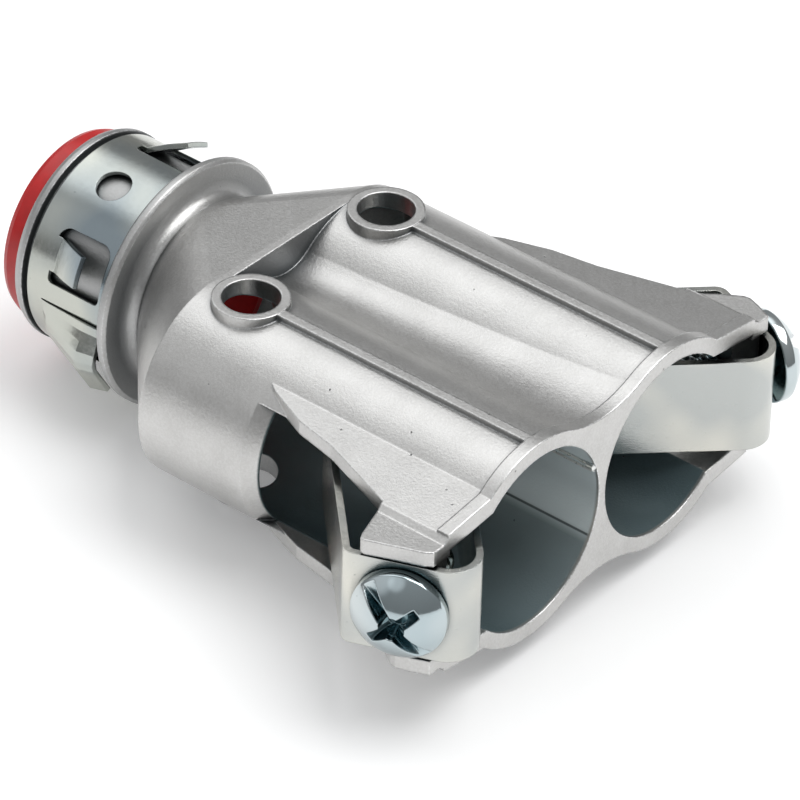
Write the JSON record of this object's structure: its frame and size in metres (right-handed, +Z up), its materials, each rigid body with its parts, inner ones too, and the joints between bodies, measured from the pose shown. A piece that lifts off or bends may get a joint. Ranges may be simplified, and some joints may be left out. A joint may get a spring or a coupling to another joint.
{
  "type": "duplex cable connector",
  "caption": "Snap-in duplex cable connector: a round nose grips a box knockout, and each cable tube has a bent strap that a screw draws in to clamp the cable.",
  "frame": {"origin": "on the axis of the round nose, at the flange face that seats on the box wall", "axes": "+Y out of the nose into the box, X across the two cable tubes, +Z up"},
  "size_m": [0.0604, 0.0692, 0.0258],
  "materials": {
    "zinc_casting": "tumbled die casting",
    "insulating_throat": "moulded",
    "spring_steel": "zinc plated",
    "zinc_plated_strap": "zinc plated",
    "zinc_plated_screw": "bright zinc plated"
  },
  "bodies": {
    "housing": {"body": "zinc_casting", "throat_insert": "insulating_throat", "snap_ring": "spring_steel"},
    "left_clamp": {"left_strap": "zinc_plated_strap"},
    "right_clamp": {"right_strap": "zinc_plated_strap"},
    "left_clamp_screw": {"left_screw": "zinc_plated_screw"},
    "right_clamp_screw": {"right_screw": "zinc_plated_screw"}
  },
  "joints": [
    {"name": "left_strap_slide", "type": "slide", "parent": "housing", "child": "left_clamp", "axis": [-0.9272, -0.3746, 0], "range_m": [0, 0.005]},
    {"name": "left_screw_turn", "type": "hinge", "parent": "left_clamp", "child": "left_clamp_screw", "pos_m": [-0.02598, -0.0492, 0], "axis": [-0.9272, -0.3746, 0], "range_deg": [0, 1701]},
    {"name": "right_strap_slide", "type": "slide", "parent": "housing", "child": "right_clamp", "axis": [0.9272, -0.3746, 0], "range_m": [0, 0.005]},
    {"name": "right_screw_turn", "type": "hinge", "parent": "right_clamp", "child": "right_clamp_screw", "pos_m": [0.02598, -0.0492, 0], "axis": [0.9272, -0.3746, 0], "range_deg": [0, 1701]}
  ],
  "couplings": [
    {"joint": "left_screw_turn", "follows": "left_strap_slide", "rad_per_m": 5936.9},
    {"joint": "right_screw_turn", "follows": "right_strap_slide", "rad_per_m": 5936.9}
  ]
}
